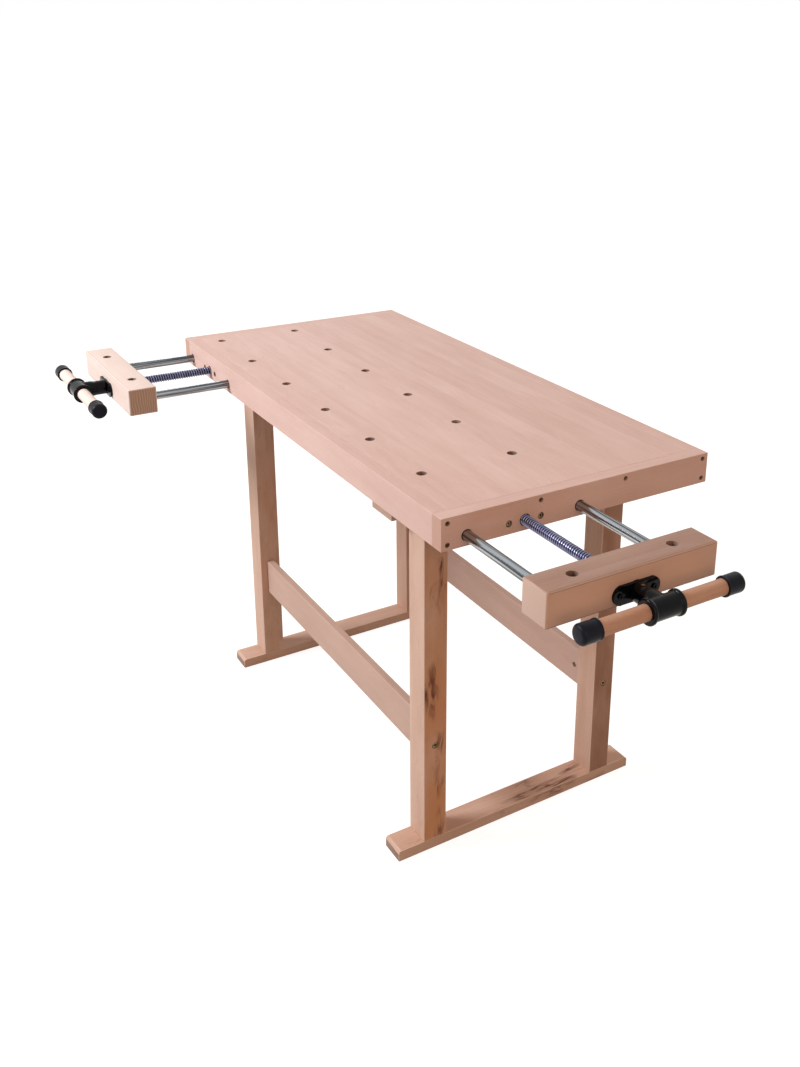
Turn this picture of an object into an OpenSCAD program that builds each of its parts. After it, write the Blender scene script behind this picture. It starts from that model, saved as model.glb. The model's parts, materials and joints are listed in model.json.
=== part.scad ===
// Beech woodworking bench: a panel in an apron frame on two trestles,
// with a front vise at the left and an end vise at the right.
// The origin is on the floor under the middle of the top.
// +X runs along the bench to the end vise, -Y is the front, +Z is up.

/* [Worktop] */
// Length of the top over both end boards
top_l = 1320; // [1260:10:1600]
// Depth of the top over both aprons
top_w = 620; // [580:10:760]
// Height of the top above the floor
bench_h = 850; // [780:10:950]
// Thickness of the glued-up panel
panel_t = 24; // [20:1:28]
// Height of the aprons, the end boards and the jaws
apron_h = 63; // [60:1:90]
// Thickness of the aprons and end boards
apron_t = 30; // [26:1:36]
// Distance of an end-board screw from the board's edges
end_screw_edge = 11; // [8:0.5:14]

/* [Dog holes] */
// Diameter of a dog hole
dog_d = 20; // [19:0.5:22]
// Distance between dog holes along the bench
dog_pitch = 210; // [180:5:230]
// Distance between the two rows of dog holes
row_gap = 206; // [180:2:220]
// Distance of the first dog hole from the left end
dog_first = 75; // [70:1:90]
// Wood left between a dog hole and a guide rod
rod_dog_gap = 1; // [1:0.5:6]

/* [Trestles] */
// Width of a leg along the bench
leg_w = 60; // [50:1:70]
// Depth of a leg across the bench
leg_d = 53; // [50:1:70]
// Distance of the right legs from the right end of the top
right_setback = 169; // [150:1:220]
// Space between a guide rod and the leg it passes
rod_leg_gap = 2; // [1:0.5:8]
// Width of a foot
foot_w = 58; // [50:1:70]
// Thickness of a foot
foot_t = 25; // [22:1:40]
// Length of a foot
foot_l = 610; // [540:10:720]
// Chamfer at the ends of a foot
foot_chamfer = 5; // [2:0.5:10]
// Thickness of an upper rail
rail_t = 24; // [20:1:30]
// Height of an upper rail
rail_h = 70; // [60:1:90]
// Drop of an upper rail below the aprons
rail_drop = 2; // [0:1:20]
// Thickness of a rail's tenon
tenon_t = 12; // [8:1:16]
// Length of a rail's tenon
tenon_l = 28; // [20:1:36]
// Shoulder above and below a rail's tenon
tenon_shoulder = 10; // [5:1:15]
// Thickness of a stretcher
stretcher_t = 18; // [16:1:30]
// Height of a stretcher
stretcher_h = 90; // [80:1:120]
// Height of a stretcher's middle above the floor
stretcher_z = 255; // [180:5:400]

/* [Frame fasteners] */
// Diameter of a stretcher bolt
bolt_d = 8; // [6:1:10]
// Diameter of a stretcher bolt's head
bolt_head_d = 14; // [12:0.5:18]
// Height of a stretcher bolt's head
bolt_head_h = 5; // [4:0.5:7]
// Depth of the recess for a bolt's head
bolt_recess = 6; // [6:0.5:10]
// Diameter of a barrel nut
barrel_d = 12; // [12:0.5:15]
// Depth of a barrel nut below the stretcher's inner face
barrel_sink = 1; // [0.5:0.5:3]
// Wood left between a barrel nut and the stretcher's outer face
barrel_wall = 3; // [2:0.5:4]
// Distance of a barrel nut from the stretcher's end
barrel_in = 35; // [25:1:50]
// Diameter of a dowel
dowel_d = 8; // [6:1:10]
// Length of a dowel
dowel_l = 40; // [30:1:50]
// Distance between the two dowels of a joint
dowel_gap = 60; // [45:1:70]
// Diameter of a foot screw
foot_screw_d = 8; // [6:1:10]
// Length of a foot screw's shank
foot_screw_l = 75; // [60:1:90]
// Distance between the two screws under a leg
foot_screw_gap = 30; // [24:1:34]
// Shank diameter of the wood screws
wood_screw_d = 4.5; // [4:0.1:6]
// Head diameter of the wood screws
wood_head_d = 8.6; // [8:0.1:9]
// Head height of the wood screws
wood_head_h = 3; // [2:0.5:4]
// Depth of a wood screw's head below the surface
wood_recess = 4; // [4:0.5:6]
// Shank length of an end-board screw
end_screw_l = 56; // [45:1:70]
// Depth that a screw from below reaches into the panel
panel_bite = 15; // [10:1:17]

/* [Leg cleats] */
// Thickness of a cleat along the bench
cleat_t = 25; // [20:1:30]
// Length of a cleat across the bench
cleat_l = 60; // [56:1:64]
// Height of a cleat
cleat_h = 36; // [30:1:38]

/* [Vise jaws] */
// Length of the end vise's jaw
end_jaw_l = 350; // [340:5:420]
// Length of the front vise's jaw
front_jaw_l = 370; // [340:5:420]
// Thickness of a jaw
jaw_t = 65; // [60:1:80]
// Chamfer along a jaw's edges
jaw_chamfer = 2; // [1:0.5:4]
// Opening of the end vise as drawn
end_opening = 240; // [60:1:260]
// Further travel of the end vise
end_extra = 20; // [10:1:60]
// Opening of the front vise as drawn
front_opening = 192; // [60:1:220]
// Further travel of the front vise
front_extra = 60; // [10:1:80]

/* [Guide rods] */
// Diameter of a guide rod
rod_d = 20; // [16:1:22]
// Depth that a rod sits in its jaw
rod_seat = 50; // [40:1:55]
// Radial play of a rod in its guide block
rod_play = 0.1; // [0.05:0.01:0.1]
// Radial room around a rod in the apron
rod_room = 1; // [0.5:0.1:2]
// Diameter of the stop disc on a rod's inner end
stop_d = 30; // [26:1:34]
// Thickness of the stop disc
stop_t = 5; // [4:0.5:8]
// Room between the stop disc and the panel
stop_room = 3; // [2:0.5:6]
// Thread diameter of the stop disc's screw
stop_screw_d = 8; // [6:1:10]
// Head diameter of the stop disc's screw
stop_head_d = 13; // [12:0.5:16]
// Head height of the stop disc's screw
stop_head_h = 5; // [4:0.5:7]
// Depth of the stop disc's screw in the rod
stop_screw_l = 20; // [15:1:30]
// Diameter of the set screw that holds a rod
set_screw_d = 6; // [5:1:8]
// Depth of the set screw's end in the jaw
set_screw_recess = 2; // [1:0.5:4]

/* [Guide blocks] */
// Length of a guide block along its rod
guide_l = 80; // [60:1:90]
// Width of a guide block
guide_w = 46; // [42:1:48]
// Height of a guide block below the panel
guide_h = 81; // [60:1:100]
// Space between the end vise's guide blocks and the right legs
guide_leg_gap = 5; // [2:0.5:10]
// Distance between a block's two screws along the rod
guide_screw_gap = 50; // [40:1:54]
// Sideways offset of a block's screws from the rod
guide_screw_off = 16; // [14.5:0.5:16.5]
// Depth of a block's screw heads above its lower face
guide_screw_sink = 40; // [30:1:42]

/* [Lead screw and nut] */
// Diameter of a lead screw
screw_d = 20; // [18:1:22]
// Radial play of the lead screw in its nut
screw_play = 0.1; // [0.05:0.01:0.1]
// Room around the lead screw in wood, on the diameter
screw_hole_room = 3; // [2:0.5:6]
// Length of the lead screw beyond its nut when the vise is fully open
screw_past_nut = 10; // [5:1:20]
// Length of a nut plate
plate_l = 100; // [94:1:120]
// Thickness of a nut plate
plate_t = 8; // [6:0.5:12]
// Outer diameter of the nut's boss
nut_d = 32; // [30:1:34]
// Length of the nut's boss
nut_l = 32; // [24:1:40]
// Distance between a nut plate's two bolts
plate_bolt_gap = 70; // [60:1:80]
// Diameter of a nut plate's bolt
plate_bolt_d = 6; // [5:1:8]
// Head diameter of a nut plate's bolt
plate_head_d = 10; // [9:0.5:11]
// Head height of a nut plate's bolt
plate_head_h = 5; // [4:0.5:6]
// Diameter of the recess for a nut plate's bolt
plate_recess_d = 13; // [12:0.5:15]
// Depth of the recess for a nut plate's bolt
plate_recess = 7; // [6:0.5:10]

/* [Flange and hub] */
// Length of the flange plate
flange_l = 96; // [92:1:110]
// Width of the flange plate
flange_w = 35; // [32:1:40]
// Thickness of the flange plate
flange_t = 5; // [4:0.5:7]
// Distance between the flange's two screws
flange_screw_gap = 70; // [64:1:76]
// Shank diameter of a flange screw
flange_screw_d = 5; // [4:0.5:6]
// Shank length of a flange screw
flange_screw_l = 32; // [25:1:40]
// Head diameter of a flange screw
flange_head_d = 10; // [9:0.5:12]
// Head height of a flange screw
flange_head_h = 3; // [2:0.5:4]
// Running gap beside the flange and around what turns in it
turn_gap = 0.3; // [0.2:0.05:0.5]
// Outer diameter of the collar that keeps the screw in the flange
collar_d = 32; // [28:1:36]
// Width of the collar
collar_w = 8; // [6:0.5:10]
// Room around the collar in the jaw
collar_room = 2; // [1:0.5:3]
// Diameter of the hub's neck
neck_d = 34; // [30:1:36]
// Depth that the screw sits in the neck
neck_seat = 24; // [20:1:28]
// Diameter of the pin through the neck
pin_d = 6; // [5:1:8]
// Distance from the jaw's face to the handle bar
hub_out = 64; // [60:1:80]
// Length of the hub's barrel over its rims
hub_l = 66; // [56:1:80]
// Wall of the hub's barrel
hub_wall = 5; // [4:0.5:8]
// Height of the barrel's rims
rim_h = 3; // [1:0.5:5]
// Width of the barrel's rims
rim_w = 7; // [5:0.5:10]

/* [Handle] */
// Diameter of a handle bar
bar_d = 28; // [24:1:30]
// Length of the end vise's handle bar
end_bar_l = 320; // [280:5:400]
// Length of the front vise's handle bar
front_bar_l = 350; // [280:5:400]
// Radial room around the bar in its hub
bar_room = 0.3; // [0.2:0.05:0.6]
// Wall of a rubber cap
cap_wall = 4; // [3:0.5:6]
// Depth of the bar in a cap
cap_depth = 33; // [25:1:40]
// Thickness of a cap's end
cap_end = 5; // [3:0.5:8]

/* [Hidden] */

$fn = 64;
// Overshoot of a cutting tool
cut = 1;

beech = "#dcb9a3";
beech_dark = "#c79a7e";
steel = "#b9bcc0";
zinc = "#8f95a6";
iron = "#1f2022";
rubber = "#26282e";

// Heights
panel_z = bench_h - panel_t;
apron_z = bench_h - apron_h;
screw_drop = panel_t + stop_d / 2 + stop_room;
screw_z = bench_h - screw_drop;
under_panel = screw_drop - panel_t;
jaw_below = apron_h - screw_drop;
rail_z = apron_z - rail_drop - rail_h;

// Vise axes: the rods run just outside the dog holes, the end vise's first rod behind the front apron
inner_l = top_l - 2 * apron_t;
inner_w = top_w - 2 * apron_t;
rod_offset = dog_d + rod_d + 2 * rod_dog_gap;
end_rod_gap = row_gap + rod_offset;
front_rod_gap = dog_pitch + rod_offset;
end_axis_y = -inner_w / 2 + guide_w / 2 + end_rod_gap / 2;
front_axis_x = -top_l / 2 + dog_first + dog_pitch / 2;
dog_cols = floor((inner_l - dog_first) / dog_pitch) + 1;
dog_x = [for (i = [0 : dog_cols - 1]) -top_l / 2 + dog_first + i * dog_pitch];
dog_y = [end_axis_y - row_gap / 2, end_axis_y + row_gap / 2];

// Trestles: the front legs leave the end vise's first rod and the front vise's second rod free
leg_face_y = inner_w / 2 - guide_w / 2 - rod_d / 2 - rod_leg_gap;
leg_y = leg_face_y - leg_d / 2;
leg_inner_y = leg_face_y - leg_d;
right_x = top_l / 2 - right_setback - leg_w / 2;
left_x = front_axis_x + front_rod_gap / 2 - rod_d / 2 - rod_leg_gap - leg_w / 2;
tongue_y = min(leg_face_y, -dog_y[0] - dog_d / 2 - rod_dog_gap);
cleat_out_y = tongue_y;
cleat_in_y = cleat_out_y - cleat_l;
stretcher_x0 = left_x + leg_w / 2;
stretcher_x1 = right_x - leg_w / 2;
shank_end = barrel_in + barrel_d / 2;

// Guide blocks and travel, measured inwards from the apron's outer face
end_guide_in = right_setback + leg_w + guide_leg_gap;
front_guide_in = top_w / 2 + end_axis_y - guide_l / 2;
nut_in = apron_t + plate_t + nut_l;
plate_h = 2 * (under_panel - 1);

// Hub and handle
hub_bore = bar_d + 2 * bar_room;
hub_d = hub_bore + 2 * hub_wall;
cap_d = bar_d + 2 * cap_wall;
screw_hole_d = screw_d + screw_hole_room;

// A vise: opening, further travel, rod spacing, guide inset, jaw length, dog-hole spacing, bar length
front_vise = [front_opening, front_extra, front_rod_gap, front_guide_in, front_jaw_l, dog_pitch, front_bar_l];
end_vise = [end_opening, end_extra, end_rod_gap, end_guide_in, end_jaw_l, row_gap, end_bar_l];
function opening(v) = v[0];
function extra(v) = v[1];
function rod_gap(v) = v[2];
function guide_in(v) = v[3];
function jaw_length(v) = v[4];
function dog_gap(v) = v[5];
function bar_length(v) = v[6];

// Places along a vise's axis
function jaw_face(v) = opening(v) + jaw_t;
function neck_x(v) = jaw_face(v) + flange_t + turn_gap;
function bar_x(v) = jaw_face(v) + hub_out;
function rod_end(v) = -guide_in(v) - guide_l - extra(v);

module box(x, y, z) {
  translate([x[0], y[0], z[0]]) cube([x[1] - x[0], y[1] - y[0], z[1] - z[0]]);
}

module round_x(x, d) {
  translate([x[0], 0, 0]) rotate([0, 90, 0]) cylinder(d = d, h = x[1] - x[0]);
}

module round_y(y, d) {
  translate([0, y[0], 0]) rotate([-90, 0, 0]) cylinder(d = d, h = y[1] - y[0]);
}

module round_z(z, d) {
  translate([0, 0, z[0]]) cylinder(d = d, h = z[1] - z[0]);
}

// Copies on both sides of the middle plane y = 0
module both_y(gap) {
  for (s = [-1, 1]) translate([0, s * gap / 2, 0]) children();
}

// A vise's own frame: the screw's axis is x, pointing out of the bench from the apron's outer face
module at_end() {
  translate([top_l / 2, end_axis_y, screw_z]) children();
}

module at_front() {
  translate([front_axis_x, -top_w / 2, screw_z]) rotate([0, 0, -90]) children();
}

// Frame of the top

// The left board has no lower screw at the front, where the front vise's first rod passes
module end_screw_places(lower_sides) {
  edge_y = top_w / 2 - end_screw_edge - wood_screw_d / 2;
  for (i = [0 : 3]) translate([0, -edge_y + i * 2 * edge_y / 3, bench_h - end_screw_edge]) children();
  for (s = lower_sides) translate([0, s * edge_y, apron_z + end_screw_edge]) children();
}

module end_screws(grow) {
  face = top_l / 2;
  head = face - wood_recess;
  for (left = [0, 1]) mirror([left, 0, 0]) end_screw_places(left == 1 ? [1] : [-1, 1]) {
    round_x([head - wood_head_h, grow > 0 ? face + grow : head], wood_head_d + grow / 2);
    round_x([head - wood_head_h - end_screw_l, head - wood_head_h], wood_screw_d);
  }
}

module worktop_panel() {
  color(beech) difference() {
    box([-inner_l / 2, inner_l / 2], [-inner_w / 2, inner_w / 2], [panel_z, bench_h]);
    for (x = dog_x, y = dog_y) translate([x, y, 0]) round_z([panel_z - cut, bench_h + cut], dog_d);
    end_screws(cut);
    at_front() guide_screw_holes(front_vise);
    at_end() guide_screw_holes(end_vise);
    cleat_places() cleat_panel_screw(wood_screw_d);
  }
}

module vise_holes(v) {
  through = [-apron_t - cut, cut];
  both_y(rod_gap(v)) round_x(through, rod_d + 2 * rod_room);
  round_x(through, screw_hole_d);
  both_y(plate_bolt_gap) {
    round_x(through, plate_bolt_d);
    round_x([-plate_recess, cut], plate_recess_d);
  }
}

module long_apron(side) {
  y0 = side * (top_w / 2 - apron_t / 2);
  translate([0, y0, 0])
    box([-inner_l / 2, inner_l / 2], [-apron_t / 2, apron_t / 2], [apron_z, bench_h]);
}

module front_apron() {
  color(beech) difference() {
    long_apron(-1);
    end_screws(cut);
    at_front() vise_holes(front_vise);
  }
}

module back_apron() {
  color(beech) difference() {
    long_apron(1);
    end_screws(cut);
  }
}

module end_board(side) {
  x0 = side * (top_l / 2 - apron_t / 2);
  translate([x0, 0, 0]) box([-apron_t / 2, apron_t / 2], [-top_w / 2, top_w / 2], [apron_z, bench_h]);
}

module left_end_board() {
  color(beech_dark) difference() {
    end_board(-1);
    end_screws(cut);
  }
}

module right_end_board() {
  color(beech_dark) difference() {
    end_board(1);
    end_screws(cut);
    at_end() vise_holes(end_vise);
  }
}

module end_board_screws() {
  color(steel) end_screws(0);
}

// Trestles

module foot_screw(grow) {
  sink = foot_screw_d;
  for (s = [-1, 1]) translate([s * foot_screw_gap / 2, 0, 0]) {
    round_z([grow > 0 ? -grow : sink / 2, sink], 2 * foot_screw_d + grow);
    round_z([sink, sink + foot_screw_l], foot_screw_d);
  }
}

module stretcher_bolt(grow) {
  head = leg_w / 2 - bolt_recess;
  translate([0, 0, stretcher_z]) {
    round_x([head, grow > 0 ? leg_w / 2 + grow : head + bolt_head_h], bolt_head_d + grow);
    round_x([-leg_w / 2 - shank_end, head], bolt_d);
  }
}

module dowels() {
  for (s = [-1, 1]) translate([0, 0, stretcher_z + s * dowel_gap / 2])
    round_x([-leg_w / 2 - dowel_l / 2, -leg_w / 2 + dowel_l / 2], dowel_d);
}

module tenon() {
  z = [rail_z + tenon_shoulder, rail_z + rail_h - tenon_shoulder];
  box([-tenon_t / 2, tenon_t / 2], [leg_inner_y - cut, leg_inner_y + tenon_l], z);
}

// A right-hand back leg; the others are its mirror images
module leg() {
  difference() {
    box([-leg_w / 2, leg_w / 2], [leg_inner_y, leg_face_y], [foot_t, panel_z]);
    box([-leg_w / 2 - cut, leg_w / 2 + cut], [tongue_y, leg_face_y + cut], [apron_z, panel_z + cut]);
    tenon();
    translate([0, leg_y, 0]) {
      foot_screw(cut);
      stretcher_bolt(cut);
      dowels();
    }
  }
}

module on_trestle(x, side) {
  translate([x, 0, 0]) mirror([0, side < 0 ? 1 : 0, 0]) children();
}

// Left legs are turned over so that their bolts enter from the outer side
module place_leg(end, side) {
  if (end > 0) on_trestle(right_x, side) children();
  else on_trestle(left_x, side) mirror([1, 0, 0]) children();
}

module each_leg() {
  for (end = [-1, 1], side = [-1, 1]) place_leg(end, side) children();
}

// The cleats stand on the left of every leg
module cleat_places() {
  for (x = [left_x, right_x], side = [-1, 1]) on_trestle(x - leg_w / 2, side) children();
}

module cleat_leg_screw(d) {
  y = cleat_out_y - cleat_l / 4;
  translate([0, y, panel_z - cleat_h / 2]) {
    round_x([-cleat_t, -cleat_t + wood_head_h], d + wood_head_d - wood_screw_d);
    round_x([-cleat_t + wood_head_h, leg_w / 2], d);
  }
}

module cleat_panel_screw(d) {
  y = cleat_in_y + cleat_l / 4;
  translate([-cleat_t / 2, y, panel_z]) {
    round_z([-cleat_h, -cleat_h + wood_head_h], d + wood_head_d - wood_screw_d);
    round_z([-cleat_h + wood_head_h, panel_bite], d);
  }
}

module leg_front_left() {
  color(beech) finished_leg(-1, -1);
}

module leg_front_right() {
  color(beech) finished_leg(1, -1);
}

module leg_back_left() {
  color(beech) finished_leg(-1, 1);
}

module leg_back_right() {
  color(beech) finished_leg(1, 1);
}

module finished_leg(end, side) {
  difference() {
    place_leg(end, side) leg();
    cleat_places() cleat_leg_screw(wood_screw_d);
  }
}

module foot(x) {
  half = foot_l / 2;
  c = foot_chamfer;
  section = [
    [-half, 0], [half, 0], [half, foot_t - c],
    [half - c, foot_t], [c - half, foot_t], [-half, foot_t - c]
  ];
  difference() {
    translate([x + foot_w / 2, 0, 0]) rotate([90, 0, -90]) mirror([1, 0, 0])
      linear_extrude(foot_w) polygon(section);
    for (side = [-1, 1]) translate([x, side * leg_y, 0]) foot_screw(cut);
  }
}

module foot_left() {
  color(beech) foot(left_x);
}

module foot_right() {
  color(beech) foot(right_x);
}

module foot_screws() {
  color(steel) each_leg() translate([0, leg_y, 0]) foot_screw(0);
}

module upper_rail(x) {
  translate([x, 0, 0]) {
    box([-rail_t / 2, rail_t / 2], [-leg_inner_y, leg_inner_y], [rail_z, rail_z + rail_h]);
    for (s = [0, 1]) mirror([0, s, 0]) tenon();
  }
}

module upper_rail_left() {
  color(beech) upper_rail(left_x);
}

module upper_rail_right() {
  color(beech) upper_rail(right_x);
}

module stretcher(side) {
  z = [stretcher_z - stretcher_h / 2, stretcher_z + stretcher_h / 2];
  difference() {
    translate([0, side * leg_y, 0])
      box([stretcher_x0, stretcher_x1], [-stretcher_t / 2, stretcher_t / 2], z);
    for (end = [-1, 1]) place_leg(end, side) translate([0, leg_y, 0]) {
      stretcher_bolt(cut);
      dowels();
      translate([-leg_w / 2 - barrel_in, 0, stretcher_z])
        round_y([-stretcher_t / 2 - cut, stretcher_t / 2 - barrel_wall], barrel_d);
    }
  }
}

module stretcher_front() {
  color(beech) stretcher(-1);
}

module stretcher_back() {
  color(beech) stretcher(1);
}

module stretcher_bolts() {
  color(steel) each_leg() translate([0, leg_y, 0]) stretcher_bolt(0);
}

module barrel_nuts() {
  half = stretcher_t / 2;
  color(steel) each_leg() translate([0, leg_y, 0]) difference() {
    translate([-leg_w / 2 - barrel_in, 0, stretcher_z])
      round_y([barrel_sink - half, half - barrel_wall], barrel_d);
    stretcher_bolt(cut);
  }
}

module stretcher_dowels() {
  color(beech) each_leg() translate([0, leg_y, 0]) dowels();
}

module leg_cleats() {
  color(beech) cleat_places() difference() {
    box([-cleat_t, 0], [cleat_in_y, cleat_out_y], [panel_z - cleat_h, panel_z]);
    cleat_leg_screw(wood_screw_d);
    cleat_panel_screw(wood_screw_d);
  }
}

module cleat_screws() {
  color(steel) cleat_places() {
    cleat_leg_screw(wood_screw_d);
    cleat_panel_screw(wood_screw_d);
  }
}

// What guides the rods and drives the screws, fixed to the bench

module guide_screw_holes(v, grow = cut) {
  floor_z = under_panel - guide_h;
  head = floor_z + guide_screw_sink;
  both_y(rod_gap(v)) for (s = [-1, 1])
    translate([-guide_in(v) - guide_l / 2 + s * guide_screw_gap / 2, s * guide_screw_off, 0]) {
      round_z([grow > 0 ? floor_z - grow : head - wood_head_h, head], wood_head_d);
      round_z([head, under_panel + panel_bite], wood_screw_d);
    }
}

module guide_blocks(v) {
  x = [-guide_in(v) - guide_l, -guide_in(v)];
  difference() {
    both_y(rod_gap(v)) box(x, [-guide_w / 2, guide_w / 2], [under_panel - guide_h, under_panel]);
    both_y(rod_gap(v)) round_x([x[0] - cut, x[1] + cut], rod_d + 2 * rod_play);
    guide_screw_holes(v);
  }
}

module front_guide_blocks() {
  color(beech_dark) at_front() guide_blocks(front_vise);
}

module end_guide_blocks() {
  color(beech_dark) at_end() guide_blocks(end_vise);
}

module guide_block_screws() {
  color(steel) {
    at_front() guide_screw_holes(front_vise, 0);
    at_end() guide_screw_holes(end_vise, 0);
  }
}

module nut_plate() {
  difference() {
    union() {
      box([-apron_t - plate_t, -apron_t], [-plate_l / 2, plate_l / 2], [-plate_h / 2, plate_h / 2]);
      round_x([-nut_in, -apron_t - plate_t], nut_d);
    }
    round_x([-nut_in - cut, cut - apron_t], screw_d + 2 * screw_play);
    both_y(plate_bolt_gap) round_x([-apron_t - plate_t - cut, cut - apron_t], plate_bolt_d);
  }
}

module front_nut_plate() {
  color(iron) at_front() nut_plate();
}

module end_nut_plate() {
  color(iron) at_end() nut_plate();
}

module plate_bolts() {
  both_y(plate_bolt_gap) {
    round_x([-plate_recess, plate_head_h - plate_recess], plate_head_d);
    round_x([-apron_t - plate_t, -plate_recess], plate_bolt_d);
  }
}

module nut_plate_bolts() {
  color(steel) {
    at_front() plate_bolts();
    at_end() plate_bolts();
  }
}

// What moves with a jaw

module jaw(v) {
  c = jaw_chamfer;
  z0 = -jaw_below;
  z1 = screw_drop;
  inner = opening(v);
  outer = jaw_face(v);
  section = [
    [c, z0], [jaw_t - c, z0], [jaw_t, z0 + c], [jaw_t, z1 - c],
    [jaw_t - c, z1], [c, z1], [0, z1 - c], [0, z0 + c]
  ];
  difference() {
    translate([inner, 0, 0]) rotate([90, 0, 0]) linear_extrude(jaw_length(v), center = true) polygon(section);
    both_y(dog_gap(v)) translate([inner + jaw_t / 2, 0, 0]) round_z([z0 - cut, z1 + cut], dog_d);
    both_y(rod_gap(v)) round_x([inner - cut, inner + rod_seat], rod_d);
    set_screws(v, cut);
    round_x([inner - cut, outer + cut], screw_hole_d);
    round_x([outer - collar_w - 2 * turn_gap - collar_room, outer + cut], collar_d + 2 * collar_room);
    flange_screws(v);
  }
}

module set_screws(v, grow) {
  bottom = grow > 0 ? -jaw_below - grow : set_screw_recess - jaw_below;
  both_y(rod_gap(v)) translate([opening(v) + rod_seat / 2, 0, 0])
    round_z([bottom, -rod_d / 2 + grow], set_screw_d);
}

module guide_rods(v) {
  both_y(rod_gap(v)) difference() {
    round_x([rod_end(v), opening(v) + rod_seat], rod_d);
    round_x([rod_end(v) - cut, rod_end(v) + stop_screw_l], stop_screw_d);
  }
}

module rod_stops(v) {
  x = [rod_end(v) - stop_t, rod_end(v)];
  both_y(rod_gap(v)) difference() {
    round_x(x, stop_d);
    round_x([x[0] - cut, x[1] + cut], stop_screw_d);
  }
}

module stop_screws(v) {
  seat = rod_end(v) - stop_t;
  both_y(rod_gap(v)) {
    round_x([seat - stop_head_h, seat], stop_head_d);
    round_x([seat, rod_end(v) + stop_screw_l], stop_screw_d);
  }
}

module flange(v) {
  x = [jaw_face(v), jaw_face(v) + flange_t];
  straight = flange_l - flange_w;
  difference() {
    union() {
      box(x, [-straight / 2, straight / 2], [-flange_w / 2, flange_w / 2]);
      both_y(straight) round_x(x, flange_w);
    }
    round_x([x[0] - cut, x[1] + cut], screw_d + 2 * turn_gap);
    flange_screws(v);
  }
}

module flange_screws(v) {
  seat = jaw_face(v) + flange_t;
  both_y(flange_screw_gap) {
    round_x([seat, seat + flange_head_h], flange_head_d);
    round_x([seat - flange_screw_l, seat], flange_screw_d);
  }
}

// What turns with a lead screw

module lead_screw(v) {
  difference() {
    round_x([-nut_in - extra(v) - screw_past_nut, neck_x(v) + neck_seat], screw_d);
    hub_pin(v);
  }
}

module collar(v) {
  x = [jaw_face(v) - turn_gap - collar_w, jaw_face(v) - turn_gap];
  difference() {
    round_x(x, collar_d);
    round_x([x[0] - cut, x[1] + cut], screw_d);
  }
}

module hub(v) {
  half = hub_l / 2;
  difference() {
    union() {
      round_x([neck_x(v), bar_x(v)], neck_d);
      translate([bar_x(v), 0, 0]) {
        round_y([-half, half], hub_d);
        for (s = [0, 1]) mirror([0, s, 0]) round_y([half - rim_w, half], hub_d + 2 * rim_h);
      }
    }
    translate([bar_x(v), 0, 0]) round_y([-half - cut, half + cut], hub_bore);
    round_x([neck_x(v) - cut, neck_x(v) + neck_seat], screw_d);
    hub_pin(v);
  }
}

module hub_pin(v) {
  translate([neck_x(v) + neck_seat / 2, 0, 0]) round_z([-neck_d / 2, neck_d / 2], pin_d);
}

// What slides through a hub

module handle_bar(v) {
  half = bar_length(v) / 2;
  translate([bar_x(v), 0, 0]) round_y([-half, half], bar_d);
}

module handle_caps(v) {
  half = bar_length(v) / 2;
  translate([bar_x(v), 0, 0]) for (s = [0, 1]) mirror([0, s, 0]) difference() {
    round_y([half - cap_depth, half + cap_end], cap_d);
    round_y([half - cap_depth - cut, half], bar_d);
  }
}

module front_jaw() {
  color(beech) at_front() jaw(front_vise);
}

module front_guide_rods() {
  color(steel) at_front() guide_rods(front_vise);
}

module front_rod_setscrews() {
  color(steel) at_front() set_screws(front_vise, 0);
}

module front_rod_stops() {
  color(steel) at_front() rod_stops(front_vise);
}

module front_stop_screws() {
  color(steel) at_front() stop_screws(front_vise);
}

module front_flange() {
  color(iron) at_front() flange(front_vise);
}

module front_flange_screws() {
  color(steel) at_front() flange_screws(front_vise);
}

module front_lead_screw() {
  color(zinc) at_front() lead_screw(front_vise);
}

module front_collar() {
  color(steel) at_front() collar(front_vise);
}

module front_hub() {
  color(iron) at_front() hub(front_vise);
}

module front_hub_pin() {
  color(steel) at_front() hub_pin(front_vise);
}

module front_handle_bar() {
  color(beech) at_front() handle_bar(front_vise);
}

module front_handle_caps() {
  color(rubber) at_front() handle_caps(front_vise);
}

module end_jaw() {
  color(beech) at_end() jaw(end_vise);
}

module end_guide_rods() {
  color(steel) at_end() guide_rods(end_vise);
}

module end_rod_setscrews() {
  color(steel) at_end() set_screws(end_vise, 0);
}

module end_rod_stops() {
  color(steel) at_end() rod_stops(end_vise);
}

module end_stop_screws() {
  color(steel) at_end() stop_screws(end_vise);
}

module end_flange() {
  color(iron) at_end() flange(end_vise);
}

module end_flange_screws() {
  color(steel) at_end() flange_screws(end_vise);
}

module end_lead_screw() {
  color(zinc) at_end() lead_screw(end_vise);
}

module end_collar() {
  color(steel) at_end() collar(end_vise);
}

module end_hub() {
  color(iron) at_end() hub(end_vise);
}

module end_hub_pin() {
  color(steel) at_end() hub_pin(end_vise);
}

module end_handle_bar() {
  color(beech) at_end() handle_bar(end_vise);
}

module end_handle_caps() {
  color(rubber) at_end() handle_caps(end_vise);
}

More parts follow.
